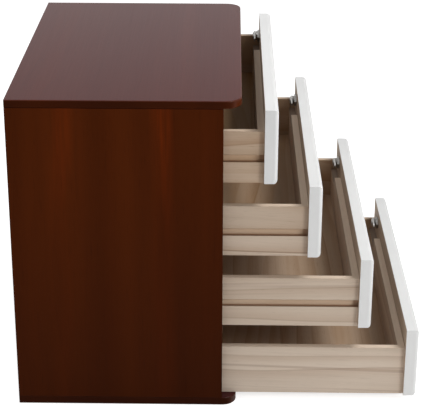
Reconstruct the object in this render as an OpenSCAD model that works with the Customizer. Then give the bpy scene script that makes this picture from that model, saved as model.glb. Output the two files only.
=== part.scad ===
// Desktop chest of four drawers: a dark stained wooden case, white painted fronts on plain wooden boxes, and
// a cam lock in every front. Origin: the middle of the base board's underside. The fronts face -Y, +X is to
// the right of someone who stands in front of the chest, +Z is up. Drawer 1 is the uppermost one.

/* [Case] */
// Width over the side panels
case_w = 420; // [320:1:520]
// Depth of the side panels
side_d = 240; // [225:1:320]
// Height from the surface to the upper face of the top board
case_h = 378; // [350:1:460]
// Thickness of the side panels
panel_t = 12; // [11:0.5:18]
// Thickness of the top board
top_t = 9; // [8:0.5:15]
// Thickness of the base board
base_t = 10; // [8:0.5:15]
// How far the top board stands out past the side panels in front
top_over = 20; // [16:0.5:30]
// How far the base board stands out past the side panels in front
base_over = 16.5; // [10:0.5:30]
// Radius in plan of the top board's front corners
top_corner_r = 20; // [5:1:30]
// Radius in plan of the base board's front corners
base_corner_r = 16; // [5:1:30]
// Radius of the rounded-over edges of the top and base boards
board_edge_r = 1.5; // [0.5:0.1:2.5]
// Thickness of the back panel
back_t = 5; // [3:0.5:6]
// Width of the rebates in the side panels that take the back panel
rebate_w = 7; // [6:0.5:8]

/* [Drawers] */
// How far drawer 1 is pulled out
pull_1 = 45; // [0:1:215]
// How far drawer 2 is pulled out
pull_2 = 96; // [0:1:215]
// How far drawer 3 is pulled out
pull_3 = 157; // [0:1:215]
// How far drawer 4 is pulled out
pull_4 = 214; // [0:1:215]
// Gap between a closed front and the front edges of the side panels
closed_gap = 0.5; // [0.3:0.1:1]

/* [Fronts] */
// Thickness of the fronts
front_t = 15; // [12:0.5:18]
// How far the fronts stop short of the case's outer faces
front_inset = 6; // [1:0.5:9]
// Gap above each front
front_gap = 3; // [2.6:0.1:4]
// Radius of the rounded-over edges of the face
front_edge_r = 4.5; // [1:0.5:8]

/* [Boxes] */
// Thickness of the sides, the inner front and the back of a box
wall_t = 8; // [7:0.5:10]
// Distance from the front's upper edge down to the box's upper edge
box_low = 27; // [24:1:36]
// How far the box reaches below its front
box_drop = 1.5; // [0.5:0.1:1.6]
// Gap between a box and the side panel
side_gap = 1.5; // [0.8:0.1:2]
// Gap between a closed box and the back panel
rear_gap = 3; // [1:0.5:8]
// Depth of the rebates in the sides that take the inner front and the back
joint_d = 3; // [2:0.5:3.5]
// Thickness of the bottom panel
bottom_t = 4; // [3:0.5:5]
// Height of the bottom panel above the box's lower edge
bottom_up = 5; // [3:0.5:8]
// Depth of the groove that holds the bottom panel
bottom_groove_d = 4; // [2:0.5:4]
// Gap between the bottom panel's edges and the ends of their grooves
bottom_gap = 0.4; // [0.2:0.1:1]

/* [Runners] */
// Height of the groove in the sides of drawers 1 to 3
groove_h = 9; // [7:0.5:12]
// Depth of that groove
groove_d = 4.5; // [3:0.5:5]
// Height of the groove above the box's lower edge
groove_up = 24.5; // [16:0.5:30]
// Running gap above a runner, and under the lowest box
slide_gap = 0.3; // [0.2:0.1:0.5]
// Play under a runner in its groove
runner_play = 1.1; // [0.6:0.1:2]
// Gap between a runner's face and the groove's ground
groove_gap = 0.7; // [0.5:0.1:1.5]
// How far the runners stop short of the side panels' front edges and of the back panel
runner_short = 4; // [2:0.5:10]

/* [Locks] */
// Distance from the lock's axis to the inner face of the right side
lock_in = 33; // [26:1:44]
// Distance from the front's upper edge down to the lock's axis
lock_down = 17.5; // [15:0.5:20]
// Diameter of the barrel
barrel_d = 12; // [11.5:0.5:12.5]
// Diameter of the barrel's head
head_d = 17; // [15:0.5:20]
// Thickness of the head, which is let into the front
head_t = 2; // [1.8:0.1:3]
// Radial gap between the barrel and its hole in the front
barrel_gap = 0.3; // [0.1:0.1:0.5]
// Diameter of the plug
plug_d = 8; // [7:0.5:8.5]
// Diameter of the plug's face
plug_face_d = 10.5; // [9.5:0.5:12]
// Running gap around the plug
plug_gap = 0.3; // [0.2:0.1:0.4]
// Width of the keyway
keyway_w = 1.6; // [1.2:0.1:2]
// Height of the keyway
keyway_h = 6; // [4:0.5:6.5]
// Depth of the keyway
keyway_d = 9; // [5:0.5:12]
// Nut size across its flats
nut_af = 14; // [13.5:0.5:16]
// Thickness of the nut
nut_t = 3; // [2:0.5:4]
// How far the barrel stands out past the nut
barrel_past = 2.5; // [1:0.1:3.5]
// Thickness of the cam
cam_t = 2; // [1.5:0.1:3]
// Width of the cam's blade
cam_w = 8; // [7:0.5:10]
// Diameter of the cam's hub
cam_hub_d = 12.5; // [11:0.5:13.5]
// How far the raised cam stays below the front's upper edge
cam_short = 0.5; // [0.2:0.1:1]
// Side of the plug's square tail
tail_w = 5; // [4:0.5:5.5]
// Diameter of the riveted end of the tail
rivet_d = 9; // [8:0.1:10]
// Height of the riveted end
rivet_h = 1.2; // [0.8:0.1:2]
// Distance from the lock's axis to the left edge of the notch in the inner front
notch_side = 34; // [20:1:40]
// Room under the nut in the notch
notch_room = 16.5; // [15:0.5:20]

/* [Lock rails] */
// Depth of the rails
rail_d = 15; // [12:0.5:20]
// Gap between a rail and the lock nut under it
rail_nut_gap = 0.75; // [0.4:0.05:1]
// Gap between a rail and the box above it
rail_box_gap = 1; // [0.6:0.1:1.5]
// Length of the keeper from its slot to the rail
keeper_wall = 8; // [6:0.5:20]
// Room around the cam in the keeper's slot
slot_gap = 1.5; // [0.8:0.1:2]

/* [Fasteners] */
// Diameter of the dowels
dowel_d = 6; // [5:0.5:6]
// How far the dowels go into the top and base boards
dowel_in_board = 6; // [4:0.5:6]
// How far the dowels go into the side panels
dowel_in_panel = 18; // [10:1:25]
// Distance from the outermost dowels to the side panels' front and rear edges
dowel_edge = 30; // [20:1:60]
// Radial gap around dowels and screws in their holes
hole_gap = 0.1; // [0.05:0.05:0.2]
// Shank diameter of the screws
screw_d = 3; // [2.5:0.1:3]
// Head diameter of the screws
screw_head_d = 6; // [5:0.1:6]
// Length of the screws in the piece that they hold on to
screw_bite = 6.5; // [5:0.5:7]
// Distance from the outermost screws to the ends of the back panel and the runners
screw_edge = 25; // [15:1:50]
// Distance of the front screws from the middle of the drawer
front_screw_x = 110; // [60:1:115]
// Distance of the front screws from the box's lower and upper edges
front_screw_z = 18; // [14:1:22]

/* [Hidden] */
$fn = 64;
eps = 0.5;
stained = [0.24, 0.10, 0.05];
pale = [0.78, 0.69, 0.58];
white = [0.93, 0.93, 0.92];
steel = [0.75, 0.75, 0.76];

drawers = 4;
on_runners = 3;

// Case
y_back = (side_d + base_over) / 2;
y_face = y_back - side_d;
panel_h = case_h - top_t - base_t;
room_w = case_w - 2 * panel_t;
back_w = room_w + 2 * rebate_w;
dowel_y = [y_face + dowel_edge, y_face + side_d / 2, y_back - dowel_edge];
dowel_x = (case_w - panel_t) / 2;

// Fronts and boxes; a drawer's own origin is at the middle of the lower rear edge of its front
base_gap = box_drop + slide_gap;
front_h = (panel_h - base_gap - drawers * front_gap) / drawers;
front_w = case_w - 2 * front_inset;
box_w = room_w - 2 * side_gap;
box_l = side_d + closed_gap - back_t - rear_gap;
box_h = front_h - box_low + box_drop;
box_top = front_h - box_low;
ends_w = box_w - 2 * (wall_t - joint_d);

// Runners
groove_top = groove_up + groove_h - box_drop;
runner_h = groove_h - slide_gap - runner_play;
runner_w = side_gap + groove_d - groove_gap;
runner_l = side_d - back_t - 2 * runner_short;
runner_y = [y_face + runner_short + screw_edge, y_back - back_t - runner_short - screw_edge];

// Locks
lock_x = box_w / 2 - wall_t - lock_in;
lock_z = front_h - lock_down;
cam_l = lock_down - cam_short;
barrel_end = nut_t + barrel_past;
cam_y = barrel_end + plug_gap;
notch_floor = lock_z - nut_af / 2 - notch_room;
rail_z0 = lock_z + nut_af / 2 + rail_nut_gap;
rail_z1 = front_h + front_gap - box_drop - rail_box_gap;
slot_x = lock_x - cam_l - slot_gap;
slot_y = y_face - closed_gap + cam_y - slot_gap;
keeper_x = slot_x - keeper_wall;

function pull(i) = [pull_1, pull_2, pull_3, pull_4][i - 1];
function front_z(i) = base_t + base_gap + (drawers - i) * (front_h + front_gap);

per_drawer = ["drawer_front", "inner_front", "drawer_left_side", "drawer_right_side", "drawer_back",
    "drawer_bottom", "front_screws", "lock_barrel", "lock_nut", "lock_plug", "lock_cam"];

// Rectangle from x = -depth to 0 and y = 0 to width whose corners at x = -depth are round
module round_faced(depth, width, r) {
    difference() {
        translate([-depth, 0]) square([depth, width]);
        for (far = [0, 1])
            translate([r - depth, far ? width - r : r])
                mirror([0, far, 0])
                    difference() {
                        translate([-r - eps, -r - eps]) square(r + eps);
                        circle(r);
                    }
    }
}

// Board with square rear corners and round front corners, its rear edge at y = 0
module plan_board(width, depth, thickness, r) {
    translate([width / 2, 0, 0])
        rotate([0, 0, 90])
            linear_extrude(thickness) round_faced(depth, width, r);
}

// What a square edge loses when it is rounded over, with the middle of the round at the origin
module round_waste(r) {
    difference() {
        square(r + eps);
        circle(r);
    }
}

// What the upper front, left and right edges of such a board lose when they are rounded over
module edge_waste(width, depth, thickness, corner_r, r) {
    translate([0, 0, thickness - r]) {
        translate([width / 2 + eps, r - depth, 0])
            rotate([90, 0, -90])
                linear_extrude(width + 2 * eps) round_waste(r);
        for (side = [0, 1]) mirror([side, 0, 0]) {
            translate([width / 2 - r, eps, 0])
                rotate([90, 0, 0])
                    linear_extrude(depth + 2 * eps) round_waste(r);
            translate([width / 2 - corner_r, corner_r - depth, 0])
                intersection() {
                    rotate_extrude() translate([corner_r - r, 0]) round_waste(r);
                    translate([0, -corner_r - 2 * eps, 0])
                        cube([corner_r + 2 * eps, corner_r + 2 * eps, r + eps]);
                }
        }
    }
}

// The same board with its upper and lower edges rounded over, all but the rear ones
module eased_board(width, depth, thickness, corner_r) {
    difference() {
        plan_board(width, depth, thickness, corner_r);
        edge_waste(width, depth, thickness, corner_r, board_edge_r);
        translate([0, 0, thickness])
            mirror([0, 0, 1]) edge_waste(width, depth, thickness, corner_r, board_edge_r);
    }
}

// Countersunk screw along -Z with its head's face at z = 0; grow widens it into its hole
module screw(length, grow = 0) {
    head_h = (screw_head_d - screw_d) / 2;
    translate([0, 0, -length - grow]) cylinder(h = length + grow, d = screw_d + 2 * grow);
    translate([0, 0, -head_h])
        cylinder(h = head_h, d1 = screw_d + 2 * grow, d2 = screw_head_d + 2 * grow);
}

// Screw with a cross recess in its head
module cross_screw(length) {
    recess = [screw_head_d * 0.6, screw_head_d * 0.14, screw_head_d * 0.4];
    difference() {
        screw(length);
        cube(recess, center = true);
        rotate([0, 0, 90]) cube(recess, center = true);
    }
}

// Places of the screws of the back panel, heads to the rear
module at_back_screws() {
    for (side = [-1, 1], k = [0 : 3])
        translate([side * (room_w + rebate_w) / 2, y_back,
                   base_t + screw_edge + k * (panel_h - 2 * screw_edge) / 3])
            rotate([-90, 0, 0]) children();
}

// Places of the screws of the runners on one side of the case, heads to the middle
module at_runner_screws(side) {
    for (i = [1 : on_runners], y = runner_y)
        translate([side * (room_w / 2 - runner_w), y, front_z(i) + groove_top - slide_gap - runner_h / 2])
            rotate([0, -side * 90, 0]) children();
}

// Places of the dowels between the side panel on one side and the top and base boards, at the joint faces
module at_dowels(side) {
    for (y = dowel_y) {
        translate([side * dowel_x, y, base_t]) children();
        translate([side * dowel_x, y, base_t + panel_h]) mirror([0, 0, 1]) children();
    }
}

// Dowel whose board end points down from the joint face; grow widens it into its bore
module dowel(grow = 0) {
    translate([0, 0, -dowel_in_board])
        cylinder(h = dowel_in_board + dowel_in_panel, d = dowel_d + 2 * grow);
}

module top_board() {
    color(stained) difference() {
        translate([0, y_back, case_h - top_t])
            eased_board(case_w, side_d + top_over, top_t, top_corner_r);
        for (side = [-1, 1]) at_dowels(side) dowel(hole_gap);
    }
}

module base_board() {
    color(stained) difference() {
        translate([0, y_back, 0]) eased_board(case_w, side_d + base_over, base_t, base_corner_r);
        for (side = [-1, 1]) at_dowels(side) dowel(hole_gap);
    }
}

module side_panel(side) {
    color(stained) difference() {
        translate([side > 0 ? room_w / 2 : -case_w / 2, y_face, base_t]) cube([panel_t, side_d, panel_h]);
        translate([-back_w / 2, y_back - back_t, base_t - eps])
            cube([back_w, back_t + eps, panel_h + 2 * eps]);
        at_dowels(side) dowel(hole_gap);
        at_back_screws() screw(back_t + screw_bite, hole_gap);
        at_runner_screws(side) screw(runner_w + screw_bite, hole_gap);
    }
}

module left_panel() {
    side_panel(-1);
}

module right_panel() {
    side_panel(1);
}

module back_panel() {
    color(stained) difference() {
        translate([-back_w / 2, y_back - back_t, base_t]) cube([back_w, back_t, panel_h]);
        at_back_screws() screw(back_t + screw_bite, hole_gap);
    }
}

module runners(side) {
    color(pale) difference() {
        for (i = [1 : on_runners])
            translate([side > 0 ? room_w / 2 - runner_w : -room_w / 2, y_face + runner_short,
                       front_z(i) + groove_top - slide_gap - runner_h])
                cube([runner_w, runner_l, runner_h]);
        at_runner_screws(side) screw(runner_w + screw_bite, hole_gap);
    }
}

module left_runners() {
    runners(-1);
}

module right_runners() {
    runners(1);
}

module case_dowels() {
    color(pale) for (side = [-1, 1]) at_dowels(side) dowel();
}

module back_screws() {
    color(steel) at_back_screws() cross_screw(back_t + screw_bite);
}

module runner_screws() {
    color(steel) for (side = [-1, 1]) at_runner_screws(side) cross_screw(runner_w + screw_bite);
}

// Rail across the case above drawer i, up to the keeper
module lock_rail(i) {
    color(pale) translate([-room_w / 2, y_face, front_z(i) + rail_z0])
        cube([keeper_x + room_w / 2, rail_d, rail_z1 - rail_z0]);
}

// Blocks at the right ends of the rails, each with a slot that the raised cam stands in
module lock_keepers() {
    slot_l = cam_l + cam_w / 2 + 2 * slot_gap;
    rail_h = rail_z1 - rail_z0;
    color(pale) for (i = [1 : drawers])
        translate([0, 0, front_z(i) + rail_z0]) difference() {
            translate([keeper_x, y_face, 0]) cube([room_w / 2 - keeper_x, rail_d, rail_h]);
            translate([slot_x, slot_y, -eps]) cube([slot_l, cam_t + 2 * slot_gap, rail_h + 2 * eps]);
        }
}

// Moves a piece from the drawer's own origin to where drawer i stands
module in_drawer(i) {
    translate([0, y_face - closed_gap - pull(i), front_z(i)]) children();
}

// Moves a piece to the lock's axis, which runs along +Y into the drawer from y = 0 at the front's rear face
module at_lock() {
    translate([lock_x, 0, lock_z]) rotate([-90, 0, 0]) children();
}

// Places of the screws that hold the front, heads in the inner front's rear face
module at_front_screws() {
    for (side = [-1, 1], z = [front_screw_z - box_drop, box_top - front_screw_z])
        translate([side * front_screw_x, wall_t, z]) rotate([-90, 0, 0]) children();
}

module drawer_front(i) {
    color(white) in_drawer(i) difference() {
        intersection() {
            translate([-front_w / 2, 0, 0])
                rotate([90, 0, 90])
                    linear_extrude(front_w) round_faced(front_t, front_h, front_edge_r);
            plan_board(front_w, front_t, front_h, front_edge_r);
        }
        at_lock() translate([0, 0, -front_t - eps])
            cylinder(h = front_t + 2 * eps, d = barrel_d + 2 * barrel_gap);
        at_lock() translate([0, 0, -front_t - eps]) cylinder(h = head_t + eps, d = head_d + 2 * barrel_gap);
        at_front_screws() screw(wall_t + screw_bite, hole_gap);
    }
}

// Groove that the bottom panel's edge sits in, cut out of the pieces around it
module bottom_groove() {
    half_w = box_w / 2 - wall_t + bottom_groove_d;
    start = wall_t - bottom_groove_d;
    translate([-half_w, start, bottom_up - box_drop]) cube([2 * half_w, box_l - 2 * start, bottom_t]);
}

module inner_front(i) {
    notch_x = lock_x - notch_side;
    color(pale) in_drawer(i) difference() {
        translate([-ends_w / 2, 0, -box_drop]) cube([ends_w, wall_t, box_h]);
        translate([notch_x, -eps, notch_floor]) cube([box_w, wall_t + 2 * eps, box_h]);
        bottom_groove();
        at_front_screws() screw(wall_t + screw_bite, hole_gap);
    }
}

module drawer_side(i, side) {
    color(pale) in_drawer(i) difference() {
        translate([side > 0 ? box_w / 2 - wall_t : -box_w / 2, 0, -box_drop]) cube([wall_t, box_l, box_h]);
        for (y = [-eps, box_l - wall_t])
            translate([-ends_w / 2, y, -box_drop - eps]) cube([ends_w, wall_t + eps, box_h + 2 * eps]);
        bottom_groove();
        if (i <= on_runners)
            translate([side > 0 ? box_w / 2 - groove_d : -box_w / 2 - eps, -eps, groove_top - groove_h])
                cube([groove_d + eps, box_l + 2 * eps, groove_h]);
    }
}

module drawer_left_side(i) {
    drawer_side(i, -1);
}

module drawer_right_side(i) {
    drawer_side(i, 1);
}

module drawer_back(i) {
    color(pale) in_drawer(i) difference() {
        translate([-ends_w / 2, box_l - wall_t, -box_drop]) cube([ends_w, wall_t, box_h]);
        bottom_groove();
    }
}

module drawer_bottom(i) {
    reach = bottom_groove_d - bottom_gap;
    color(pale) in_drawer(i)
        translate([wall_t - reach - box_w / 2, wall_t - reach, bottom_up - box_drop])
            cube([box_w - 2 * (wall_t - reach), box_l - 2 * (wall_t - reach), bottom_t]);
}

module front_screws(i) {
    color(steel) in_drawer(i) at_front_screws() cross_screw(wall_t + screw_bite);
}

module lock_barrel(i) {
    color(steel) in_drawer(i) at_lock() difference() {
        union() {
            translate([0, 0, -front_t]) cylinder(h = head_t, d = head_d);
            translate([0, 0, -front_t]) cylinder(h = front_t + barrel_end, d = barrel_d);
        }
        translate([0, 0, -front_t - eps])
            cylinder(h = front_t + barrel_end + 2 * eps, d = plug_d + 2 * plug_gap);
        translate([0, 0, -front_t - eps])
            cylinder(h = head_t / 2 + plug_gap + eps, d = plug_face_d + 2 * plug_gap);
    }
}

module lock_nut(i) {
    color(steel) in_drawer(i) at_lock() difference() {
        cylinder(h = nut_t, d = nut_af / cos(30), $fn = 6);
        translate([0, 0, -eps]) cylinder(h = nut_t + 2 * eps, d = barrel_d + 2 * hole_gap);
    }
}

// Plug with its face in the barrel's head, a keyway, and a square tail riveted over behind the cam
module lock_plug(i) {
    color(steel) in_drawer(i) at_lock() difference() {
        union() {
            translate([0, 0, -front_t]) cylinder(h = front_t + cam_y, d = plug_d);
            translate([0, 0, -front_t]) cylinder(h = head_t / 2, d = plug_face_d);
            translate([-tail_w / 2, -tail_w / 2, cam_y]) cube([tail_w, tail_w, cam_t]);
            translate([0, 0, cam_y + cam_t]) cylinder(h = rivet_h, d = rivet_d);
        }
        translate([-keyway_w / 2, -keyway_h / 2, -front_t - eps]) cube([keyway_w, keyway_h, keyway_d + eps]);
    }
}

// Flat cam that points to the left when the drawer is free, and is turned up to lock it
module lock_cam(i) {
    blade = cam_l - cam_w / 2;
    color(steel) in_drawer(i) at_lock() translate([0, 0, cam_y]) linear_extrude(cam_t) difference() {
        union() {
            circle(d = cam_hub_d);
            translate([-blade, -cam_w / 2]) square([blade, cam_w]);
            translate([-blade, 0]) circle(d = cam_w);
        }
        square(tail_w, center = true);
    }
}

top_board();
base_board();
left_panel();
right_panel();
back_panel();
left_runners();
right_runners();
lock_keepers();
case_dowels();
back_screws();
runner_screws();
for (i = [1 : drawers]) {
    lock_rail(i);
    drawer_front(i);
    inner_front(i);
    drawer_left_side(i);
    drawer_right_side(i);
    drawer_back(i);
    drawer_bottom(i);
    front_screws(i);
    lock_barrel(i);
    lock_nut(i);
    lock_plug(i);
    lock_cam(i);
}
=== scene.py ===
"""Desktop drawer organizer: camera, light and the finishes of its boards, painted fronts, locks, screws."""

import math

import bpy
import numpy as np
from mathutils import Euler, Matrix, Vector


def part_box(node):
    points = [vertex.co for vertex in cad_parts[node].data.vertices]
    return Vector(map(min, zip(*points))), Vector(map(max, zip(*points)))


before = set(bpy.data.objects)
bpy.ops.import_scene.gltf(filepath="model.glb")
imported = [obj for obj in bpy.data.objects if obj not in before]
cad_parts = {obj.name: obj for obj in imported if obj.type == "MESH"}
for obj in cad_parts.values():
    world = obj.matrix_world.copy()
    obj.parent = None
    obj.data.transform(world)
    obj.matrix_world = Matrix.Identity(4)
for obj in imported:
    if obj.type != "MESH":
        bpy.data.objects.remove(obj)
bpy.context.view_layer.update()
scene = bpy.context.scene
scene.view_settings.view_transform = "Standard"


# Camera: place in metres, angles in radians, lens and sensor in millimetres

CAMERA_PLACE = (-1.7017, -0.1180, 0.8750)
CAMERA_HEADING = 0.0132
CAMERA_TILT = 0.3920
CAMERA_ROLL = 0.0030
FOCAL_LENGTH = 123.3
SENSOR_WIDTH = 36.0


def place_camera():
    """A camera at the photograph's viewpoint. It looks along +X, turned by the heading towards +Y, then
    tilted down, then rolled slightly about its own axis."""
    ahead = np.array([math.cos(CAMERA_HEADING), math.sin(CAMERA_HEADING), 0.0])
    sky = np.array([0.0, 0.0, 1.0])
    forward = math.cos(CAMERA_TILT) * ahead - math.sin(CAMERA_TILT) * sky
    level_right = np.array([math.sin(CAMERA_HEADING), -math.cos(CAMERA_HEADING), 0.0])
    level_up = np.cross(level_right, forward)
    right = math.cos(CAMERA_ROLL) * level_right + math.sin(CAMERA_ROLL) * level_up
    up = math.cos(CAMERA_ROLL) * level_up - math.sin(CAMERA_ROLL) * level_right
    lens = bpy.data.cameras.new("camera")
    lens.sensor_width = SENSOR_WIDTH
    lens.lens = FOCAL_LENGTH
    camera = bpy.data.objects.new("camera", lens)
    turned = np.eye(4)
    turned[:3, :] = np.stack([right, up, -forward, CAMERA_PLACE], -1)
    camera.matrix_world = Matrix(turned.tolist())
    scene.collection.objects.link(camera)
    scene.camera = camera


# Shader arithmetic

class Tap:
    """One socket of a shader's nodes. Operators on taps add Math nodes, and make() adds any other node."""

    def __init__(self, tree, socket=None):
        self.tree = tree
        self.socket = socket

    def make(self, kind, settings, sockets, out=0):
        """Adds a node of this kind: first its settings, then the value or link of each of its sockets."""
        node = self.tree.nodes.new("ShaderNode" + kind)
        for name, value in settings.items():
            setattr(node, name, value)
        for name, value in sockets.items():
            if isinstance(value, Tap):
                self.tree.links.new(value.socket, node.inputs[name])
            else:
                node.inputs[name].default_value = value
        return Tap(self.tree, node.outputs[out])

    def math(self, operation, *values):
        """Adds a Math node on these values."""
        return self.make("Math", {"operation": operation}, dict(enumerate(values)))

    def __add__(self, other):
        return self.math("ADD", self, other)

    __radd__ = __add__

    def __sub__(self, other):
        return self.math("SUBTRACT", self, other)

    def __rsub__(self, other):
        return self.math("SUBTRACT", other, self)

    def __mul__(self, other):
        return self.math("MULTIPLY", self, other)

    __rmul__ = __mul__

    def __abs__(self):
        return self.math("ABSOLUTE", self)

    def step(self, low, high):
        """0 below low, 1 above high, smooth between them."""
        return self.make("MapRange", {"interpolation_type": "SMOOTHSTEP"},
                         {"Value": self, "From Min": low, "From Max": high})

    def part(self, axis):
        """This vector's X, Y or Z."""
        return self.make("SeparateXYZ", {}, {"Vector": self}, axis)

    def stretched(self, x, y, z):
        """This vector with each axis multiplied by its own number."""
        return self.make("VectorMath", {"operation": "MULTIPLY"}, {0: self, 1: (x, y, z)})

    def noise(self, detail, rough, out="Fac"):
        """Smooth noise at this vector, about one blotch a unit."""
        return self.make("TexNoise", {},
                         {"Vector": self, "Scale": 1.0, "Detail": detail, "Roughness": rough}, out)

    def grain(self, across, along, detail, rough):
        """Noise drawn out along the third axis, with so many blotches a metre across it and along it."""
        return self.stretched(across, across, along).noise(detail, rough)

    def speckle(self, count, detail, rough):
        """Noise that is the same in all directions, with so many blotches a metre."""
        return self.grain(count, count, detail, rough)

    def blend(self, share, first, second):
        """The first colour at share 0, the second at share 1."""
        return self.make("Mix", {"data_type": "RGBA"}, {0: share, 6: first, 7: second}, 2)

    def tint(self, share, colour):
        """This colour with a share of another one mixed in."""
        return self.blend(share, self, colour)


def place_on(tap):
    """The object coordinates, in metres from the origin under the chest."""
    return tap.make("TexCoord", {}, {}, "Object")


def facing(tap, axis):
    """How far a surface faces along X, Y or Z, from -1 to 1."""
    return tap.make("TexCoord", {}, {}, "Normal").part(axis)


def mostly(amount):
    """1 where a surface faces a direction squarely, 0 where it is more than 45 degrees off."""
    return amount.step(0.7, 0.95)


def srgb(red, green, blue):
    """A colour given as 0 to 255 display values, as the linear values that a shader takes."""
    c = np.array([red, green, blue]) / 255.0
    c = np.where(c <= 0.04045, c / 12.92, ((c + 0.055) / 1.055) ** 2.4)
    return (*c.tolist(), 1.0)


def emptied(owner):
    """A tap on the nodes of a material or a world, with the usual ones taken out."""
    owner.use_nodes = True
    owner.node_tree.nodes.clear()
    return Tap(owner.node_tree)


def show(shader, kind):
    """Links a shader to a new output node for a Material or a World."""
    end = shader.tree.nodes.new("ShaderNodeOutput" + kind)
    shader.tree.links.new(shader.socket, end.inputs["Surface"])


def dress(node, name, build):
    """Gives a CAD node a material of its own. Its shader's sockets come from build, which gets a tap."""
    material = bpy.data.materials.new(name + "_" + node)
    tap = emptied(material)
    show(tap.make("BsdfPrincipled", {}, build(tap)), "Material")
    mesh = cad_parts[node].data
    mesh.materials.clear()
    mesh.materials.append(material)


def soft_edges(tap, radius):
    """Normals that round the piece's sharp edges off by a small radius."""
    return tap.make("Bevel", {"samples": 6}, {"Radius": radius}, "Normal")


def relief(tap, height, depth, strength, normal):
    """Bump of the given depth in metres on top of another normal."""
    sockets = {"Height": height, "Distance": depth, "Strength": strength, "Normal": normal}
    return tap.make("Bump", {}, sockets, "Normal")


# Wood

QUARTER = math.pi / 2
TURNS = {"x": (0.0, -QUARTER, 0.0), "y": (QUARTER, 0.0, 0.0), "z": (0.0, 0.0, 0.0)}

# The runner's groove in a drawer's side: how high it starts above the side's lower edge, its own height, and
# its depth
GROOVE_UP = 0.0245
GROOVE_HEIGHT = 0.009
GROOVE_DEPTH = 0.0045


def board_space(tap, node, along, pith, shift, slant=0.0):
    """Object coordinates turned so that the grain runs along the third axis, measured from the tree's pith,
    which passes the board's middle at the offset given. The shift moves the board along the tree, and the
    slant tips the grain out of the board's length by an angle about X."""
    low, high = (Vector(c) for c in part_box(node))
    angles = (TURNS[along][0] + slant, *TURNS[along][1:])
    turn = Euler(angles).to_matrix()
    origin = turn @ ((low + high) / 2 + Vector(pith))
    location = (-origin.x, -origin.y, shift - origin.z)
    return tap.make("Mapping", {}, {"Vector": place_on(tap), "Rotation": angles, "Location": location})


def end_grain(tap, along):
    """1 on faces that cut across the grain, 0 on faces along it."""
    return mostly(abs(facing(tap, along.upper())))


def facing_up(tap):
    """1 on faces that look up, 0 on the rest."""
    return mostly(facing(tap, "Z"))


def growth_rings(place, ring, wander):
    """Growth rings: the distance from a pith that wanders along the tree, in ring widths. The wood darkens
    slowly over each ring and turns pale again at its edge. Each ring has its own strength. Gives the soft
    bands, and the thin dark lines in which about one ring in three ends."""
    sway = place.stretched(7.0, 7.0, 2.4).noise(1.0, 0.5, "Color")
    bent = place.make("VectorMath", {"operation": "MULTIPLY_ADD"},
                      {0: sway, 1: (wander, wander, 0.0), 2: place})
    flat = bent.stretched(1.0, 1.0, 0.0)
    reach = flat.make("VectorMath", {"operation": "LENGTH"}, {0: flat}, "Value")
    phase = reach * (1.0 / ring)
    part = phase.math("FRACT", phase)
    number = phase.math("FLOOR", phase)
    strength = phase.make("TexWhiteNoise", {"noise_dimensions": "1D"}, {"W": number}, "Value")
    late = part.step(0.25, 0.9) * (1.0 - part.step(0.92, 1.0))
    line = part.step(0.84, 0.91) * (1.0 - part.step(0.93, 0.98)) * strength.step(0.60, 0.95)
    return late * (0.45 + 0.55 * strength), line


def upper_faces(tap, node):
    """Two masks of faces that look up: 1 on the board's upper edge, and 1 on ledges below it."""
    up = facing_up(tap)
    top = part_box(node)[1][2]
    at_top = place_on(tap).part("Z").step(top - 0.0030, top - 0.0015)
    return up * at_top, up * (1.0 - at_top)


def runner_groove(tap, node):
    """Two masks for a drawer's side: 1 on the ground of the runner's groove, which is in the face turned
    away from the box, and 1 where painted shade goes: thin lines in its corners and at its end behind the
    front."""
    low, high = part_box(node)
    where = place_on(tap)
    across = where.part("X")
    up = where.part("Z") - low[2]
    back = where.part("Y") - low[1]
    under = across - low[0] if low[0] < 0.0 else high[0] - across
    at_depth = under.step(GROOVE_DEPTH - 0.0033, GROOVE_DEPTH - 0.0015)
    at_depth = at_depth * (1.0 - under.step(GROOVE_DEPTH + 0.0010, GROOVE_DEPTH + 0.0020))
    head = GROOVE_UP + GROOVE_HEIGHT
    above = up.step(GROOVE_UP - 0.0007, GROOVE_UP - 0.0001)
    ground = at_depth * above * (1.0 - up.step(head + 0.0001, head + 0.0007))
    half = GROOVE_HEIGHT / 2
    corner_shade = abs(up - (GROOVE_UP + half)).step(half - 0.0013, half - 0.0001)
    end_shadow = 1.0 - back.step(0.004, 0.007)
    return ground, ground * tap.math("MAXIMUM", corner_shade, end_shadow)


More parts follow.
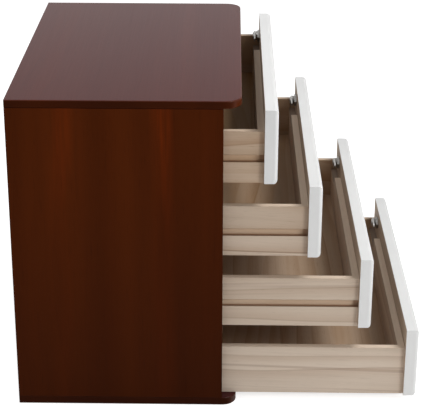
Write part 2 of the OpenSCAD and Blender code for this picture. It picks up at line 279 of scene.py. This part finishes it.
def plain_board(node, along, pith, shift, tone=0.0, slant=0.0, bold=0.25, rim_light_and_ledge_shade=False, grooved=False):
    """Pale unfinished wood: wide soft rings, a few redder lines, fibres, short pores, darker end grain, and
    a tone set for each board, paler above 0 and browner below. On the boards so marked, the upper edge is
    tinted paler as a painted highlight and the ledges below it darker as painted shade; a groove's ground is
    a lighter, warmer tan, partly painted light, and its corners and its end get lines of painted shade. The
    grain runs at a slight slant to the board's length, and bold is the strength of the dark ring lines."""
    def build(tap):
        place = board_space(tap, node, along, pith, shift, slant)
        rings, ring_lines = growth_rings(place, ring=0.0125, wander=0.040)
        ends = end_grain(tap, along)
        streak = place.grain(120.0, 3.0, 3.0, 0.55)
        fibre = place.grain(900.0, 14.0, 2.0, 0.6)
        broad = place.grain(30.0, 2.2, 1.0, 0.5)
        lines = place.grain(95.0, 0.9, 2.0, 0.5).step(0.64, 0.70)
        pores = place.grain(1300.0, 60.0, 1.0, 0.5).step(0.66, 0.74)
        colour = tap.blend(broad.step(0.3, 0.7), srgb(217, 199, 181), srgb(205, 185, 165))
        colour = colour.tint(rings * 0.50, srgb(176, 144, 117))
        colour = colour.tint(streak.step(0.45, 0.75) * 0.28, srgb(170, 143, 120))
        colour = colour.tint(lines * 0.40, srgb(140, 104, 80))
        colour = colour.tint(ring_lines * bold, srgb(110, 76, 52))
        colour = colour.tint(fibre.step(0.5, 0.8) * 0.16, srgb(150, 124, 102))
        colour = colour.tint(pores * 0.25, srgb(120, 94, 74))
        colour = colour.tint(ends * 0.45, srgb(150, 112, 84))
        if tone < 0.0:
            colour = colour.tint(-tone, srgb(155, 104, 18))
        elif tone > 0.0:
            colour = colour.tint(tone, srgb(230, 216, 200))
        if rim_light_and_ledge_shade:
            # Painted light: a paler tint on the upper edge as a painted highlight, a darker one on the
            # ledges below it as painted shade.
            rim_light, ledge_shade = upper_faces(tap, node)
            colour = colour.tint(rim_light * 0.45, srgb(246, 224, 200))
            colour = colour.tint(ledge_shade * 0.65, srgb(84, 56, 36))
        if grooved:
            ground, groove_shade = runner_groove(tap, node)
            # The groove's ground gets a lighter, warmer tan, partly the cut wood's colour and partly painted
            # light that lifts it out of its shade; its corners and its end get painted shade.
            colour = colour.tint(ground * 0.38, srgb(228, 188, 148))
            colour = colour.tint(groove_shade * 0.60, srgb(118, 78, 48))
        height = fibre * 0.6 + rings * 0.3 - pores * 0.8
        return {"Base Color": colour, "Roughness": 0.62 + 0.12 * fibre, "Specular IOR Level": 0.25,
                "Normal": relief(tap, height, 0.00012, 0.5, soft_edges(tap, 0.0007))}
    dress(node, "plain", build)


def stained_board(node, along, pith, shift, gloss, rubbing_and_sheen=0.0, flames=()):
    """Dark red-brown stain under lacquer: broad soft bands, faint rings, fine streaks and pores along the
    grain. End grain takes more stain. The chest darkens towards its foot as painted shade, and faces that
    look up are a shade more purple as a painted reflection of the room. The gloss is the lacquer's mirror
    strength in the middle, and the argument after it is how much that gains a metre towards the right, a
    painted sheen.
    Flames are orange streaks up a panel, each with its place across the panel and its strength; they wander,
    and fade towards the foot."""
    def build(tap):
        place = board_space(tap, node, along, pith, shift)
        where = place_on(tap)
        height = where.part("Z")
        rings = growth_rings(place, ring=0.016, wander=0.050)[0]
        ends = end_grain(tap, along)
        bands = place.grain(16.0, 0.45, 1.5, 0.5)
        streak = place.grain(75.0, 1.6, 3.0, 0.55)
        fibre = place.grain(700.0, 8.0, 2.0, 0.6)
        pores = place.grain(1200.0, 36.0, 1.0, 0.5).step(0.62, 0.72)
        up = facing_up(tap)
        broad = bands.step(0.30, 0.72) * (1.0 - 0.6 * up) + 0.3 * up
        colour = tap.blend(broad, srgb(66, 25, 3), srgb(87, 36, 7))
        colour = colour.tint(rings * 0.10, srgb(50, 16, 3))
        colour = colour.tint(streak.step(0.45, 0.75) * 0.12, srgb(98, 38, 9))
        colour = colour.tint(fibre.step(0.5, 0.8) * 0.15, srgb(48, 15, 3))
        colour = colour.tint(pores * 0.25, srgb(32, 10, 3))
        colour = colour.tint(ends * 0.55, srgb(40, 12, 3))
        # Painted shade: the chest is darker towards its foot.
        foot = 1.0 - height.step(-0.05, 0.36)
        colour = colour.tint(foot * 0.55, srgb(39, 12, 2))
        for middle, share in flames:
            sway = place.grain(9.0, 5.0, 1.0, 0.5) - 0.5
            off = where.part("Y") - middle + 0.030 * sway
            flame = 1.0 - abs(off).step(0.0, 0.017)
            flicker = place.grain(180.0, 9.0, 3.0, 0.6).step(0.30, 0.70)
            fade = 0.15 + 0.85 * height.step(0.20, 0.36)
            colour = colour.tint(flame * (0.25 + 0.75 * flicker) * fade * share, srgb(150, 54, 8))
        # Painted reflection: faces that look up are tinted more purple, for the room's reflection in the
        # lacquer.
        colour = colour.tint(up * 0.30, srgb(80, 38, 53))
        texture = fibre * 0.3 - pores * 0.5
        # Painted sheen: the lacquer's mirror strength ramps up towards the right, for the reflection growing
        # across the lid and base.
        lacquer = (gloss + rubbing_and_sheen * where.part("X")) * (0.94 + 0.12 * streak) * (1.0 - 0.9 * ends)
        return {"Base Color": colour, "Roughness": 0.42 + 0.10 * fibre, "Specular IOR Level": 0.02,
                "Coat Weight": lacquer, "Coat Roughness": 0.24, "Coat Tint": (1.0, 0.95, 1.0, 1.0),
                "Normal": relief(tap, texture, 0.00005, 0.3, soft_edges(tap, 0.0009))}
    dress(node, "stained", build)


# Paint and metal

THREAD_PITCH = 0.0015


def white_paint(node):
    """White satin paint: a faint orange-peel surface and slight changes of tone and gloss. The rear face,
    which the box is screwed to, is coloured as brown board: painted shade with a painted warm bounce from
    the wood."""
    def build(tap):
        where = place_on(tap)
        peel = where.speckle(420.0, 2.0, 0.5)
        cloud = where.speckle(14.0, 2.0, 0.5)
        paint = tap.blend(cloud.step(0.3, 0.7), srgb(235, 235, 234), srgb(232, 232, 231))
        # Painted shade: the rear face takes a brown board colour in place of the white paint.
        rear = mostly(facing(tap, "Y"))
        fibre = where.stretched(14.0, 900.0, 900.0).noise(2.0, 0.6)
        painted_rear_shade = tap.blend(fibre.step(0.3, 0.7), srgb(196, 176, 156), srgb(176, 151, 128))
        roughness = 0.36 + 0.04 * cloud + 0.3 * rear
        return {"Base Color": paint.tint(rear, painted_rear_shade), "Roughness": roughness, "Specular IOR Level": 0.4,
                "Normal": relief(tap, peel, 0.00004, 0.35, soft_edges(tap, 0.0006))}
    dress(node, "paint", build)


def nickel(node, pitch=None):
    """Nickel plate: fine scratches from rubbing and cloudy spots in its gloss. A pitch gives a screw thread
    along
    Y, whose height rises and falls evenly over each turn, with a dark band of painted shade on each turn."""
    def build(tap):
        where = place_on(tap)
        rubbing_and_sheen = where.stretched(260.0, 2600.0, 2600.0).noise(2.0, 0.6)
        cloud = where.speckle(220.0, 3.0, 0.55)
        colour = tap.blend(cloud.step(0.35, 0.75), srgb(182, 180, 177), srgb(146, 144, 141))
        normal = relief(tap, rubbing_and_sheen, 0.00001, 0.3, soft_edges(tap, 0.0003))
        if pitch:
            turns = where.part("Y") * (1.0 / pitch)
            ridge = abs(tap.math("FRACT", turns) - 0.5)
            # Painted shade: a dark band on each turn of the thread.
            colour = colour.tint(ridge.step(0.30, 0.50) * 0.7, srgb(70, 66, 60))
            normal = relief(tap, ridge, 0.0008, 0.8, normal)
        roughness = 0.18 + 0.12 * rubbing_and_sheen + 0.12 * cloud
        return {"Base Color": colour, "Metallic": 1.0, "Roughness": roughness, "Normal": normal}
    dress(node, "nickel", build)


def zinc(node):
    """Zinc-plated screws: a dull bright metal with a faint yellow and blue cast."""
    def build(tap):
        where = place_on(tap)
        cast = where.speckle(300.0, 2.0, 0.5)
        grit = where.speckle(2200.0, 2.0, 0.5)
        colour = tap.blend(cast.step(0.35, 0.65), srgb(196, 192, 178), srgb(176, 181, 188))
        return {"Base Color": colour, "Metallic": 1.0, "Roughness": 0.32 + 0.15 * grit,
                "Normal": relief(tap, grit, 0.00001, 0.3, soft_edges(tap, 0.0002))}
    dress(node, "zinc", build)


# Floor and light

WHITE = (1.0, 1.0, 1.0, 1.0)
FLOOR_GREY = (0.86, 0.86, 0.86, 1.0)
FLOOR_GLOW = 0.75
FLOOR_REACH = 6.0
FLOOR_LINES = 9
FLOOR_DROP = 0.0002
ROOM_LIGHT = 0.30
LAMP_AIM = (0.0, -0.15)


def seen_directly(tap):
    """1 for rays from the camera and for mirrored or refracted ones, 0 for light that only brightens
    surfaces."""
    camera, glossy, through = (tap.make("LightPath", {}, {}, "Is %s Ray" % name)
                               for name in ("Camera", "Glossy", "Transmission"))
    return tap.math("MAXIMUM", camera, tap.math("MAXIMUM", glossy, through))


def floor():
    """A flat square of pale floor just under the chest: x and y run over a grid, z is constant."""
    side = np.linspace(-FLOOR_REACH, FLOOR_REACH, FLOOR_LINES)
    x, y = np.meshgrid(side, side, indexing="ij")
    points = np.stack([x, y, np.full_like(x, -FLOOR_DROP)], -1).reshape(-1, 3)
    k = np.arange(FLOOR_LINES * FLOOR_LINES).reshape(FLOOR_LINES, FLOOR_LINES)
    faces = np.stack([k[:-1, :-1], k[1:, :-1], k[1:, 1:], k[:-1, 1:]], -1).reshape(-1, 4)
    mesh = bpy.data.meshes.new("floor")
    mesh.from_pydata(points.tolist(), [], faces.tolist())
    sheet = bpy.data.objects.new("floor", mesh)
    scene.collection.objects.link(sheet)
    material = bpy.data.materials.new("pale_floor")
    tap = emptied(material)
    matt = tap.make("BsdfDiffuse", {}, {"Color": FLOOR_GREY})
    glow = tap.make("Emission", {}, {"Color": WHITE, "Strength": seen_directly(tap) * FLOOR_GLOW})
    show(tap.make("AddShader", {}, {0: matt, 1: glow}), "Material")
    mesh.materials.append(material)


def surroundings():
    """A white room: full white where it is seen or mirrored, dimmer as a source of light."""
    world = bpy.data.worlds.new("white_room")
    scene.world = world
    tap = emptied(world)
    strength = ROOM_LIGHT + (1.0 - ROOM_LIGHT) * seen_directly(tap)
    show(tap.make("Background", {}, {"Color": WHITE, "Strength": strength}), "World")


def softbox(name, place, aim_height, side, watts):
    """A square soft lamp that faces a point over the middle of the chest and its drawers."""
    lamp = bpy.data.lights.new(name, "AREA")
    lamp.shape = "SQUARE"
    lamp.size = side
    lamp.energy = watts
    carrier = bpy.data.objects.new(name, lamp)
    carrier.location = place
    ray = Vector((*LAMP_AIM, aim_height)) - Vector(place)
    carrier.rotation_euler = ray.to_track_quat("-Z", "Y").to_euler()
    scene.collection.objects.link(carrier)


place_camera()
floor()
surroundings()
softbox("key", (-0.95, -0.75, 0.70), aim_height=0.15, side=0.30, watts=3.4)
softbox("front_top", (-0.15, -1.10, 1.80), aim_height=0.25, side=0.60, watts=16.0)
softbox("rear_top", (-0.10, 0.95, 1.70), aim_height=0.20, side=0.60, watts=6.0)


# Case: the lid and the base are polished more than the upright boards

BOARD_GLOSS = 0.295
# The lacquer on the lid and the base ramps up towards the right as a painted sheen.
BOARD_SHEEN_RAMP = 0.33
PANEL_GLOSS = 0.015
LEFT_FLAMES = ((0.068, 0.24), (-0.044, 0.34))
RIGHT_FLAMES = ((0.030, 0.30), (-0.070, 0.22))

stained_board("top_board", "x", (0.0, 0.05, -0.09), 0.3, BOARD_GLOSS, BOARD_SHEEN_RAMP)
stained_board("base_board", "x", (0.0, -0.06, -0.08), 1.1, BOARD_GLOSS, BOARD_SHEEN_RAMP)
stained_board("left_panel", "z", (0.11, 0.03, 0.0), 0.7, PANEL_GLOSS, flames=LEFT_FLAMES)
stained_board("right_panel", "z", (-0.12, -0.02, 0.0), 1.9, PANEL_GLOSS, flames=RIGHT_FLAMES)
stained_board("back_panel", "z", (0.03, 0.14, 0.0), 2.6, PANEL_GLOSS)
plain_board("left_runners", "y", (0.03, 0.0, 0.04), 0.4)
plain_board("right_runners", "y", (0.03, 0.0, 0.04), 1.4)
plain_board("lock_keepers", "x", (0.0, 0.02, 0.05), 5.1)
plain_board("case_dowels", "z", (0.02, 0.0, 0.0), 0.2)
zinc("back_screws")
zinc("runner_screws")


# Drawers, uppermost first: pith and shift step from drawer to drawer, so that no two boards are alike

# The left sides grow browner towards the uppermost drawer: partly each board's own tone, partly painted
# shade of the upper drawers.
LEFT_TONES_AND_SHADE = (-0.30, -0.04, 0.20, 0.22)
LEFT_SLANTS = (0.005, -0.06, 0.02, -0.035)
LEFT_LINES = (0.20, 0.80, 0.22, 0.22)
# The right sides, seen from inside the drawers, are browner: partly their own tone, partly painted shade
# inside the drawers.
RIGHT_TONE_AND_SHADE = -0.42
RIGHT_SLANT = 0.02
INNER_FRONT_TONE = 0.20
# The bottoms are browner and more orange, most of all in the upper drawers: partly their own tone, partly
# painted shade and painted warm bounce light inside the drawers.
BOTTOM_TONES_AND_SHADE = (-0.66, -0.52, -0.38, -0.38)
LOWEST = 4

for i in (1, 2, 3, 4):
    on_runners = i < LOWEST
    white_paint("drawer_front_%d" % i)
    plain_board("inner_front_%d" % i, "x", (0.0, -0.05, 0.02 * i - 0.05), 0.35 * i,
                tone=INNER_FRONT_TONE, rim_light_and_ledge_shade=True)
    plain_board("drawer_left_side_%d" % i, "y", (0.045, 0.0, 0.03 - 0.018 * i), 0.5 + 0.41 * i,
                LEFT_TONES_AND_SHADE[i - 1], LEFT_SLANTS[i - 1], LEFT_LINES[i - 1], rim_light_and_ledge_shade=True, grooved=on_runners)
    plain_board("drawer_right_side_%d" % i, "y", (-0.05, 0.0, 0.012 * i - 0.02), 2.5 + 0.37 * i,
                RIGHT_TONE_AND_SHADE, RIGHT_SLANT, rim_light_and_ledge_shade=True, grooved=on_runners)
    plain_board("drawer_back_%d" % i, "x", (0.0, 0.06, 0.01 * i), 4.5 + 0.43 * i)
    plain_board("drawer_bottom_%d" % i, "x", (0.0, 0.05 - 0.02 * i, -0.08), 6.5 + 0.39 * i,
                BOTTOM_TONES_AND_SHADE[i - 1])
    plain_board("lock_rail_%d" % i, "x", (0.0, 0.03, 0.03), 8.5 + 0.47 * i)
    zinc("front_screws_%d" % i)
    nickel("lock_barrel_%d" % i, THREAD_PITCH)
    for piece in ("lock_nut", "lock_plug", "lock_cam"):
        nickel("%s_%d" % (piece, i))
